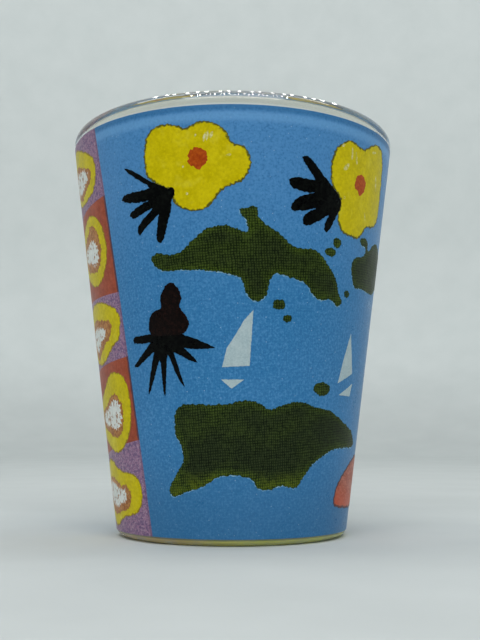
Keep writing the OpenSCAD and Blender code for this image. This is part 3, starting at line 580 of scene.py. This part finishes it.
# ---------------------------------------------------------------------------
# Node helpers
# ---------------------------------------------------------------------------
class Mat:
    def __init__(self, name):
        self.m = bpy.data.materials.new(name)
        self.m.use_nodes = True
        self.t = self.m.node_tree
        self.t.nodes.clear()
        self.out = self.n("ShaderNodeOutputMaterial")
        self.b = self.n("ShaderNodeBsdfPrincipled")
        self.t.links.new(self.b.outputs[0], self.out.inputs[0])
        self._mm = None

    def n(self, kind, **kw):
        node = self.t.nodes.new(kind)
        for k, v in kw.items():
            setattr(node, k, v)
        return node

    def link(self, a, b):
        self.t.links.new(a, b)

    def put(self, sock, v):
        if hasattr(v, "is_output") or isinstance(v, bpy.types.NodeSocket):
            self.link(v, sock)
        else:
            sock.default_value = v

    def mm(self):
        """Object coordinates in millimetres."""
        if self._mm is None:
            c = self.n("ShaderNodeTexCoord")
            s = self.n("ShaderNodeVectorMath", operation="SCALE")
            self.link(c.outputs["Object"], s.inputs[0])
            s.inputs["Scale"].default_value = 1000.0
            self._mm = s.outputs[0]
        return self._mm

    def math(self, op, a, b=None, c=None, clamp=False):
        x = self.n("ShaderNodeMath", operation=op, use_clamp=clamp)
        self.put(x.inputs[0], a)
        if b is not None:
            self.put(x.inputs[1], b)
        if c is not None:
            self.put(x.inputs[2], c)
        return x.outputs[0]

    def xyz(self):
        s = self.n("ShaderNodeSeparateXYZ")
        self.link(self.mm(), s.inputs[0])
        return s.outputs

    def round(self):
        """Way round the glass: x sine and cosine as angle in radians, and height in mm."""
        x, y, z = self.xyz()
        a = self.math("ARCTAN2", x, self.math("MULTIPLY", y, -1.0))
        return a, z

    def noise(self, scale, detail=2.0, rough=0.5, vec=None, dims="3D", distortion=0.0, lac=2.0):
        x = self.n("ShaderNodeTexNoise", noise_dimensions=dims)
        self.link(vec if vec is not None else self.mm(), x.inputs["Vector"])
        x.inputs["Scale"].default_value = scale
        x.inputs["Detail"].default_value = detail
        x.inputs["Roughness"].default_value = rough
        x.inputs["Distortion"].default_value = distortion
        return x.outputs["Fac"]

    def vor(self, scale, vec=None, feature="F1", rand=1.0):
        x = self.n("ShaderNodeTexVoronoi", feature=feature)
        self.link(vec if vec is not None else self.mm(), x.inputs["Vector"])
        x.inputs["Scale"].default_value = scale
        x.inputs["Randomness"].default_value = rand
        return x.outputs["Distance"]

    def span(self, v, a, b, c=0.0, d=1.0, smooth=False):
        x = self.n("ShaderNodeMapRange", clamp=True)
        if smooth:
            x.interpolation_type = "SMOOTHSTEP"
        self.put(x.inputs["Value"], v)
        x.inputs["From Min"].default_value = a
        x.inputs["From Max"].default_value = b
        x.inputs["To Min"].default_value = c
        x.inputs["To Max"].default_value = d
        return x.outputs["Result"]

    def mix(self, f, a, b, mode="MIX"):
        x = self.n("ShaderNodeMix", data_type="RGBA", blend_type=mode)
        self.put(x.inputs[0], f)
        self.put(x.inputs[6], (*a, 1.0) if isinstance(a, tuple) and len(a) == 3 else a)
        self.put(x.inputs[7], (*b, 1.0) if isinstance(b, tuple) and len(b) == 3 else b)
        return x.outputs[2]

    def attr(self, name):
        x = self.n("ShaderNodeAttribute", attribute_name=name)
        return x.outputs["Fac"]

    def scaled(self, sx, sy, sz, rot=(0, 0, 0)):
        x = self.n("ShaderNodeMapping")
        self.link(self.mm(), x.inputs["Vector"])
        x.inputs["Scale"].default_value = (sx, sy, sz)
        x.inputs["Rotation"].default_value = rot
        return x.outputs[0]

    def bump(self, h, strength, dist):
        x = self.n("ShaderNodeBump")
        x.inputs["Strength"].default_value = strength
        x.inputs["Distance"].default_value = dist
        self.put(x.inputs["Height"], h)
        self.link(x.outputs[0], self.b.inputs["Normal"])
        return x


def weave(m, pitch=0.36, tilt=0.10):
    """Canvas grain of the painting the print was made from: two sets of threads, 0 to 1."""
    a, z = m.round()
    u = m.math("MULTIPLY", a, 20.75)
    wob = m.noise(0.9, 2.0)
    u2 = m.math("ADD", m.math("ADD", u, m.math("MULTIPLY", z, tilt)), m.math("MULTIPLY", wob, 0.5))
    z2 = m.math("ADD", m.math("SUBTRACT", z, m.math("MULTIPLY", u, tilt)), m.math("MULTIPLY", wob, 0.4))
    k = 2 * math.pi / pitch
    s1 = m.math("SINE", m.math("MULTIPLY", u2, k))
    s2 = m.math("SINE", m.math("MULTIPLY", z2, k))
    # warp shows where the weft dips
    w = m.math("MULTIPLY", s1, s2)
    a1 = m.math("ADD", m.math("MULTIPLY", s1, 0.42), m.math("MULTIPLY", s2, 0.36))
    s = m.math("ADD", a1, m.math("MULTIPLY", w, 0.35))
    return m.span(s, -1.1, 1.1)


def ink_common(m, rough=0.33, shine=0.2):
    """Satin ink: fine pinholes and brush relief in gloss and surface."""
    fine = m.noise(4.2, 2.0, 0.6)
    soft = m.noise(0.55, 3.0, 0.55)
    r = m.math("ADD", m.span(soft, 0.3, 0.7, rough - 0.05, rough + 0.07), m.span(fine, 0.3, 0.7, -0.04, 0.05))
    m.link(r, m.b.inputs["Roughness"])
    m.b.inputs["IOR"].default_value = 1.5
    m.b.inputs["Specular IOR Level"].default_value = shine
    return fine, soft


def mat_sea():
    m = Mat("ink sea blue")
    fine, soft = ink_common(m, 0.32)
    wv = weave(m, 0.34, 0.05)
    big = m.noise(0.11, 3.0, 0.55)
    grit = m.noise(3.1, 2.0, 0.6)
    _, _, z = m.xyz()
    # painted light: the sea is lighter towards the top and darker lower down, as the light falls from above
    c = m.mix(m.span(z, 30.0, 52.0, smooth=True), (0.030, 0.196, 0.440), (0.078, 0.265, 0.560))
    c = m.mix(m.span(big, 0.3, 0.7, 0.0, 0.35), c, (0.070, 0.250, 0.530))
    c = m.mix(m.span(wv, 0.35, 0.9, 0.0, 0.22), c, (0.088, 0.290, 0.560))
    c = m.mix(m.span(grit, 0.50, 0.68, 0.0, 0.45), c, (0.125, 0.345, 0.640))
    c = m.mix(m.span(grit, 0.48, 0.32, 0.0, 0.45), c, (0.020, 0.130, 0.335))
    # sparse pale pinholes
    spots = m.vor(1.1)
    c = m.mix(m.span(spots, 0.085, 0.05, 0.0, 0.6), c, (0.50, 0.66, 0.78))
    # the upper hem: a paler band, which is a painted highlight, and a darker line at the very edge
    painted_highlight_band = m.math("MULTIPLY", m.span(z, 55.2, 56.1, smooth=True), m.span(z, 57.1, 56.5, smooth=True))
    c = m.mix(m.math("MULTIPLY", painted_highlight_band, 0.5), c, (0.190, 0.440, 0.760))
    c = m.mix(m.span(z, 56.8, 57.2, 0.0, 0.5), c, (0.026, 0.130, 0.300))
    # painted shade: darker towards the foot, where less light reaches
    c = m.mix(m.span(z, 17.0, 1.0, 0.0, 0.46, True), c, (0.030, 0.120, 0.250))
    m.link(c, m.b.inputs["Base Color"])
    m.bump(m.math("ADD", m.math("MULTIPLY", wv, 0.4), grit), 0.25, 0.00003)
    return m.m


def side_line(m):
    """1 along the right edge of the border strip, 0 elsewhere."""
    a, z = m.round()
    deg = m.math("MULTIPLY", a, 180 / math.pi)
    edge = m.math("ADD", m.math("MULTIPLY", m.math("SUBTRACT", z, PRINT_LOW), (STRIP_TOP - STRIP_LOW) / (PRINT_HIGH - PRINT_LOW)), STRIP_LOW)
    gap = m.math("MULTIPLY", m.math("SUBTRACT", edge, deg), K)
    gap = m.math("ADD", gap, m.span(m.noise(1.4, 2.0), 0.3, 0.7, -0.07, 0.07))
    return m.math("MULTIPLY", m.span(gap, 0.46, 0.26), m.span(gap, -0.6, -0.5))


def mat_purple():
    m = Mat("ink mottled purple")
    fine, soft = ink_common(m, 0.36)
    v = m.noise(1.9, 4.0, 0.62, m.scaled(1.0, 1.0, 1.7), distortion=0.8)
    v2 = m.noise(3.3, 2.0, 0.55)
    c = m.mix(m.span(v, 0.42, 0.56), (0.165, 0.095, 0.215), (0.345, 0.190, 0.300))
    c = m.mix(m.span(v2, 0.52, 0.68, 0.0, 0.75), c, (0.450, 0.330, 0.420))
    c = m.mix(m.span(v2, 0.40, 0.28, 0.0, 0.6), c, (0.120, 0.080, 0.210))
    c = m.mix(m.math("MULTIPLY", side_line(m), 0.35), c, (0.10, 0.07, 0.14))
    m.link(c, m.b.inputs["Base Color"])
    m.bump(m.math("ADD", v, fine), 0.3, 0.00004)
    return m.m


def mat_red():
    m = Mat("ink brick red")
    fine, soft = ink_common(m, 0.36)
    v = m.noise(1.2, 3.0, 0.6)
    c = m.mix(m.span(v, 0.35, 0.65), (0.300, 0.050, 0.018), (0.420, 0.080, 0.034))
    c = m.mix(m.span(fine, 0.55, 0.72, 0.0, 0.5), c, (0.500, 0.140, 0.080))
    c = m.mix(m.math("MULTIPLY", side_line(m), 0.85), c, (0.045, 0.035, 0.060))
    m.link(c, m.b.inputs["Base Color"])
    m.bump(m.math("ADD", v, fine), 0.25, 0.00003)
    return m.m


def yellow(name, mottle, outline, width, rim=(0.050, 0.060, 0.016)):
    m = Mat(name)
    fine, soft = ink_common(m, 0.34, 0.10)
    grit = m.noise(2.4, 3.0, 0.6)
    c = m.mix(m.span(soft, 0.35, 0.65), (0.590, 0.480, 0.001), (0.680, 0.560, 0.003))
    c = m.mix(m.span(grit, 0.50, 0.68, 0.0, 0.5), c, (0.780, 0.665, 0.005))
    c = m.mix(m.span(grit, 0.47, 0.32, 0.0, 0.45), c, (0.480, 0.375, 0.001))
    c = m.mix(m.span(m.noise(0.45, 3.0, 0.6), 0.56, 0.72, 0.0, mottle), c, (0.800, 0.710, 0.060))
    e = m.attr("edge_mm")
    ragged = m.math("ADD", e, m.span(m.noise(2.2, 2.0), 0.3, 0.7, -0.14, 0.14))
    c = m.mix(m.span(ragged, width, width - 0.16, 0.0, outline), c, rim)
    m.link(c, m.b.inputs["Base Color"])
    m.bump(m.math("ADD", soft, grit), 0.3, 0.00004)
    return m.m


def mat_petal():
    return yellow("ink petal yellow", 0.35, 0.9, 0.27)


def mat_flesh():
    return yellow("ink slice yellow", 0.55, 0.75, 0.22, (0.230, 0.115, 0.020))


def mat_stroke():
    """Dry-brush marks, paler than the petals they lie on."""
    m = Mat("ink pale stroke")
    fine, soft = ink_common(m, 0.36)
    c = m.mix(m.span(m.noise(2.6, 2.0), 0.38, 0.62), (0.560, 0.480, 0.020), (0.760, 0.720, 0.360))
    m.link(c, m.b.inputs["Base Color"])
    m.bump(fine, 0.25, 0.00003)
    return m.m


def mat_ring():
    m = Mat("ink slice orange")
    fine, soft = ink_common(m, 0.36)
    v = m.noise(1.8, 3.0, 0.6)
    c = m.mix(m.span(v, 0.36, 0.62), (0.290, 0.085, 0.014), (0.560, 0.240, 0.060))
    c = m.mix(m.span(m.noise(2.6, 2.0), 0.60, 0.70, 0.0, 0.6), c, (0.620, 0.420, 0.180))
    e = m.attr("edge_mm")
    c = m.mix(m.span(e, 0.30, 0.08, 0.0, 0.6), c, (0.360, 0.130, 0.012))
    m.link(c, m.b.inputs["Base Color"])
    m.bump(m.math("ADD", v, fine), 0.25, 0.00003)
    return m.m


def mat_core():
    m = Mat("ink slice white")
    fine, soft = ink_common(m, 0.36)
    v = m.noise(1.6, 3.0, 0.6)
    c = m.mix(m.span(v, 0.35, 0.65), (0.720, 0.750, 0.720), (0.850, 0.870, 0.830))
    c = m.mix(m.span(m.noise(1.7, 2.0, 0.5), 0.56, 0.64, 0.0, 0.9), c, (0.380, 0.170, 0.060))
    m.link(c, m.b.inputs["Base Color"])
    m.bump(m.math("ADD", v, fine), 0.25, 0.00003)
    return m.m


def mat_eye():
    m = Mat("ink flower eye")
    fine, soft = ink_common(m, 0.36)
    v = m.noise(2.4, 3.0, 0.6)
    c = m.mix(m.span(v, 0.35, 0.65), (0.360, 0.042, 0.002), (0.520, 0.095, 0.006))
    m.link(c, m.b.inputs["Base Color"])
    m.bump(m.math("ADD", v, fine), 0.3, 0.00004)
    return m.m


def mat_leaf():
    m = Mat("ink leaf black")
    fine, soft = ink_common(m, 0.30, 0.06)
    v = m.noise(2.2, 3.0, 0.6)
    c = m.mix(m.span(v, 0.45, 0.70), (0.0015, 0.0018, 0.0020), (0.0060, 0.0075, 0.0060))
    m.link(c, m.b.inputs["Base Color"])
    m.bump(m.math("ADD", v, fine), 0.3, 0.00004)
    return m.m


def mat_fruit():
    m = Mat("ink fruit maroon")
    fine, soft = ink_common(m, 0.32, 0.10)
    v = m.noise(2.4, 3.0, 0.65)
    c = m.mix(m.span(v, 0.44, 0.70), (0.0030, 0.0020, 0.0018), (0.016, 0.0060, 0.0048))
    c = m.mix(m.span(fine, 0.60, 0.75, 0.0, 0.6), c, (0.045, 0.018, 0.012))
    m.link(c, m.b.inputs["Base Color"])
    m.bump(m.math("ADD", v, fine), 0.3, 0.00004)
    return m.m


def mat_isle():
    m = Mat("ink island green")
    fine, soft = ink_common(m, 0.36, 0.09)
    wv = weave(m, 0.35, 0.06)
    big = m.noise(0.22, 3.0, 0.6)
    _, _, z = m.xyz()
    # threads drawn out up and down, and across
    up = m.noise(1.0, 2.0, 0.6, m.scaled(3.4, 3.4, 1.5))
    across = m.noise(1.0, 2.0, 0.6, m.scaled(1.3, 1.3, 3.2))
    e = m.attr("edge_mm")
    lit = m.math("ADD", m.span(e, 1.1, 0.1, 0.0, 0.45), m.span(big, 0.42, 0.72, 0.0, 0.4), clamp=True)
    # the wide island is yellower along its south shore, the long one lighter all over
    shore = m.math("MULTIPLY", m.span(z, 10.4, 8.6, smooth=True), m.span(e, 2.0, 0.3, 0.3, 1.0))
    lit = m.math("ADD", lit, m.math("MULTIPLY", shore, 0.4), clamp=True)
    lit = m.math("ADD", lit, m.span(z, 28.0, 33.0, 0.0, 0.10), clamp=True)
    dark = m.mix(lit, (0.0032, 0.0070, 0.0016), (0.0085, 0.0190, 0.0024))
    pale = m.mix(lit, (0.0310, 0.0480, 0.0150), (0.0850, 0.1350, 0.0140))
    g = m.math("ADD", m.math("MULTIPLY", wv, 0.44), m.math("ADD", m.math("MULTIPLY", up, 0.34), m.math("MULTIPLY", across, 0.34)))
    c = m.mix(m.span(g, 0.44, 0.72), dark, pale)
    c = m.mix(m.span(fine, 0.56, 0.74, 0.0, 0.5), c, pale)
    c = m.mix(m.math("MULTIPLY", shore, m.span(m.math("ADD", g, m.noise(0.7, 3.0, 0.6)), 0.95, 1.30, 0.05, 0.75)), c, (0.110, 0.145, 0.008))
    c = m.mix(m.span(e, 0.18, 0.04, 0.0, 0.5), c, (0.014, 0.045, 0.018))
    m.link(c, m.b.inputs["Base Color"])
    m.bump(m.math("ADD", g, fine), 0.3, 0.00004)
    return m.m


def mat_sail():
    m = Mat("ink sail white")
    fine, soft = ink_common(m, 0.36)
    c = m.mix(m.span(fine, 0.35, 0.65), (0.385, 0.510, 0.545), (0.490, 0.605, 0.630))
    c = m.mix(m.span(m.noise(0.5, 2.0), 0.5, 0.7, 0.0, 0.4), c, (0.560, 0.660, 0.670))
    m.link(c, m.b.inputs["Base Color"])
    m.bump(m.math("ADD", soft, fine), 0.25, 0.00003)
    return m.m


def mat_halo():
    """Pale line where the white under the island shows past the green."""
    m = Mat("ink pale halo")
    fine, soft = ink_common(m, 0.36)
    c = m.mix(m.span(m.noise(0.8, 3.0, 0.6), 0.44, 0.60), (0.095, 0.290, 0.540), (0.270, 0.480, 0.620))
    m.link(c, m.b.inputs["Base Color"])
    m.bump(fine, 0.25, 0.00003)
    return m.m


def mat_coral():
    m = Mat("ink fish red")
    fine, soft = ink_common(m, 0.36)
    v = m.noise(0.9, 3.0, 0.6, m.scaled(1.0, 1.0, 2.2), distortion=1.2)
    c = m.mix(m.span(v, 0.36, 0.64), (0.330, 0.058, 0.026), (0.520, 0.150, 0.088))
    _, _, z = m.xyz()
    c = m.mix(m.span(z, 8.6, 5.0, 0.0, 0.75, True), c, (0.560, 0.070, 0.014))
    c = m.mix(m.span(fine, 0.55, 0.72, 0.0, 0.5), c, (0.600, 0.260, 0.180))
    e = m.math("ADD", m.attr("edge_mm"), m.span(m.noise(2.6, 2.0), 0.3, 0.7, -0.10, 0.10))
    c = m.mix(m.span(e, 0.34, 0.18, 0.0, 0.85), c, (0.040, 0.024, 0.024))
    m.link(c, m.b.inputs["Base Color"])
    m.bump(m.math("ADD", v, fine), 0.3, 0.00004)
    return m.m


def mat_glass():
    m = Mat("clear pressed glass")
    b = m.b
    x, y, z = m.xyz()
    out = m.math("SQRT", m.math("ADD", m.math("MULTIPLY", x, x), m.math("MULTIPLY", y, y)))
    # the heel has rubbed dull on tables, so it is rougher and less clear; its colour is painted light, a glow of the
    # print colours through the heel, pinkish-brown on the left to yellow-green on the right
    heel = m.math("MULTIPLY", m.span(out, 15.2, 15.7, smooth=True), m.span(z, 1.25, 0.95, smooth=True))
    wear_and_painted_glow = m.math("MULTIPLY", heel, m.span(m.noise(0.5, 3.0, 0.6), 0.25, 0.6, 0.75, 1.0))
    painted_glow_tone = m.mix(m.span(m.math("ADD", x, m.math("MULTIPLY", m.noise(0.25, 2.0), 6.0)), -9.0, 7.0, smooth=True),
                 (0.720, 0.500, 0.220), (0.740, 0.790, 0.190))
    # painted shade: the heel is darker along its bottom and along its top under the print
    painted_glow_tone = m.mix(m.span(z, 0.45, 0.30, 0.0, 0.30, True), painted_glow_tone, (0.300, 0.290, 0.100))
    painted_glow_tone = m.mix(m.span(z, 0.70, 0.85, 0.0, 0.7, True), painted_glow_tone, (0.200, 0.260, 0.180))
    # painted reflection: the top of the lip is tinted warm and a little less clear, standing in for the print colours
    # that the round lip refracts
    lip = m.span(z, 58.5, 58.9, smooth=True)
    c = m.mix(lip, (0.965, 0.985, 0.978), (0.850, 0.815, 0.680))
    c = m.mix(wear_and_painted_glow, c, painted_glow_tone)
    m.link(c, b.inputs["Base Color"])
    m.link(m.math("SUBTRACT", m.math("SUBTRACT", 1.0, m.math("MULTIPLY", wear_and_painted_glow, 0.55)), m.math("MULTIPLY", lip, 0.12)), b.inputs["Transmission Weight"])
    b.inputs["IOR"].default_value = 1.52
    r = m.math("ADD", m.span(m.noise(0.35, 3.0, 0.6), 0.55, 0.8, 0.0, 0.03), m.math("MULTIPLY", lip, 0.02))
    r = m.math("ADD", r, m.math("MULTIPLY", wear_and_painted_glow, 0.25))
    m.link(r, b.inputs["Roughness"])
    m.bump(m.noise(0.16, 2.0, 0.4), 0.05, 0.0003)
    return m.m


# ---------------------------------------------------------------------------
# Build
# ---------------------------------------------------------------------------
glass = build_glass()
glass.data.materials.append(mat_glass())
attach(glass, ROOT)
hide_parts("glass_body")

vs, groups, x0, x1 = build_print()
MATS = {"purple": mat_purple(), "red": mat_red(), "flesh": mat_flesh(), "ring": mat_ring(), "core": mat_core(),
        "petal": mat_petal(), "stroke": mat_stroke(), "eye": mat_eye(), "leaf": mat_leaf(), "fruit": mat_fruit(), "isle": mat_isle(),
        "sail": mat_sail(), "halo": mat_halo(), "coral": mat_coral(), "sea": mat_sea()}


def dense(outlines):
    pts = []
    for o in outlines:
        pts += resampled(o, 0.08, True)
    t = KDTree(len(pts))
    for i, v in enumerate(pts):
        t.insert((v[0], v[1], 0), i)
    t.balance()
    return t


T_IN = -0.03
sea = wrap("sea_blue", vs, groups[-1], T_IN, 0.05, x0, x1, None)
sea.data.materials.append(MATS["sea"])
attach(sea, ROOT)
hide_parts("sea_ground")
for pi, p in enumerate(PATCHES):
    if not groups[pi]:
        print("EMPTY", p["name"])
        continue
    ob = wrap(p["name"] + "_ink", vs, groups[pi], T_IN, p["relief"], x0, x1, dense(p["outlines"]))
    ob.data.materials.append(MATS[p["mat"]])
    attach(ob, ROOT)
    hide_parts(p["node"])

# ---------------------------------------------------------------------------
# Stage, light and camera
# ---------------------------------------------------------------------------
def backdrop():
    """A round light tent: pale floor that sweeps up into a wall, open at the top."""
    R, H, C = 0.62, 0.75, 0.20
    prof = [(0.0, 0.0), (0.1, 0.0), (0.2, 0.0), (0.3, 0.0), (R - C, 0.0)]
    prof += [(R - C + C * math.sin(math.pi / 2 * i / 12), C - C * math.cos(math.pi / 2 * i / 12)) for i in range(1, 13)]
    prof += [(R, H)]
    N = 96
    verts, faces = [], []
    for r, z in prof[1:]:
        for j in range(N):
            a = 2 * math.pi * j / N
            verts.append((r * math.sin(a), -r * math.cos(a), z))
    c = len(verts)
    verts.append((0, 0, 0))
    for j in range(N):
        k = (j + 1) % N
        faces.append((c, j, k))
        for i in range(len(prof) - 2):
            faces.append((i * N + j, (i + 1) * N + j, (i + 1) * N + k, i * N + k))
    me = bpy.data.meshes.new("stage_tent")
    me.from_pydata(verts, [], faces)
    me.shade_smooth()
    ob = bpy.data.objects.new("stage_tent", me)
    scene.collection.objects.link(ob)
    m = Mat("stage pale paper")
    n = m.noise(0.05, 3.0)
    c = m.mix(m.span(n, 0.3, 0.7), (0.600, 0.640, 0.632), (0.635, 0.672, 0.664))
    # the camera side of the tent is painted near-black: painted shade where the camera stands, so that the front of the
    # glass mirrors nothing bright
    _, y, z = m.xyz()
    low = m.mix(m.span(n, 0.3, 0.7), (0.480, 0.510, 0.505), (0.510, 0.540, 0.534))
    c = m.mix(m.span(z, 2.0, 90.0, smooth=True), low, c)
    painted_shade_band = m.math("MULTIPLY", m.span(y, -95.0, -190.0, smooth=True), m.span(z, 210.0, 130.0, smooth=True))
    c = m.mix(painted_shade_band, c, (0.012, 0.012, 0.012))
    m.link(c, m.b.inputs["Base Color"])
    m.b.inputs["Roughness"].default_value = 0.9
    m.b.inputs["Specular IOR Level"].default_value = 0.15
    ob.data.materials.append(m.m)
    return ob


backdrop()

world = bpy.data.worlds.new("soft sky")
scene.world = world
world.use_nodes = True
bg = world.node_tree.nodes.get("Background")
bg.inputs[0].default_value = (0.93, 0.97, 1.0, 1)
bg.inputs[1].default_value = 0.58


def area_light(name, loc, to, size, size_y, power, col=(1, 1, 1)):
    d = bpy.data.lights.new(name, "AREA")
    d.shape = "RECTANGLE"
    d.size, d.size_y = size, size_y
    d.energy = power
    d.color = col
    o = bpy.data.objects.new(name, d)
    o.location = loc
    o.rotation_euler = (Vector(to) - Vector(loc)).to_track_quat("-Z", "Y").to_euler()
    scene.collection.objects.link(o)
    o.visible_camera = False
    return o


# lamps and softboxes
area_light("key_front", (0.0, -0.34, 0.36), (0, 0, 0.06), 0.50, 0.25, 1.60)
area_light("wall_wash", (0.0, 0.05, 0.60), (0, 0.62, 0.02), 0.90, 0.20, 2.15)

CAM = Vector((0, -0.13964, 0.01487))


def lip_lamps(tag, first, gap, count, tilt, w, l, power):
    """A row of small ceiling lamps, each placed where the lip mirrors it to the camera. They shine in gloss only.

    first and gap are millimetres across the front of the lip, tilt is how far up the round of the lip."""
    cx, cz = r_at(GLASS_H - LIP) - LIP / CA, GLASS_H - LIP

    def mirrored(t, f):
        P = Vector(((cx + LIP * math.cos(f)) * math.sin(t), -(cx + LIP * math.cos(f)) * math.cos(t), cz + LIP * math.sin(f))) * MM
        N = Vector((math.cos(f) * math.sin(t), -math.cos(f) * math.cos(t), math.sin(f)))
        V = (CAM - P).normalized()
        return P, 2 * N.dot(V) * N - V

    f = math.radians(tilt)
    for i in range(count):
        t = math.asin((first + gap * (i + 0.16 * math.sin(2.3 * i))) / 24.0)
        P, L = mirrored(t, f)
        # the long side runs the way the mirror image moves up the lip, so that each image stays a dot
        A = mirrored(t, f + 0.02)[1] - mirrored(t, f - 0.02)[1]
        Y = (A - L * A.dot(L)).normalized()
        X = Y.cross(L)
        lamp = area_light("lamp_%s_%02d" % (tag, i), P + L * 0.33, P, w, l, power)
        lamp.matrix_world = Matrix.Translation(P + L * 0.33) @ Matrix((X, Y, L)).transposed().to_4x4()
        lamp.visible_diffuse = False
        lamp.visible_transmission = False


lip_lamps("high", -10.5, 1.43, 18, 50, 0.0035, 0.090, 0.022)
lip_lamps("low", -5.4, 0.62, 21, 23, 0.003, 0.090, 0.044)

cam_data = bpy.data.cameras.new("camera")
cam = bpy.data.objects.new("camera", cam_data)
scene.collection.objects.link(cam)
scene.camera = cam
pitch, yaw, roll = 0.1237, 0.0085, 0.0023
fw = Vector((math.sin(yaw) * math.cos(pitch), math.cos(yaw) * math.cos(pitch), math.sin(pitch)))
rt = Vector((math.cos(yaw), -math.sin(yaw), 0))
up = rt.cross(fw)
r2 = rt * math.cos(roll) + up * math.sin(roll)
u2 = up * math.cos(roll) - rt * math.sin(roll)
rot = Matrix((r2, u2, -fw)).transposed()
cam.matrix_world = Matrix.Translation(CAM) @ rot.to_4x4()
cam_data.sensor_fit = "AUTO"
cam_data.sensor_width = 36.0
cam_data.lens = 913.03 / 640 * 36
cam_data.clip_start = 0.005
cam_data.clip_end = 10

scene.view_settings.view_transform = "Standard"
scene.view_settings.look = "None"
scene.view_settings.exposure = 0.0
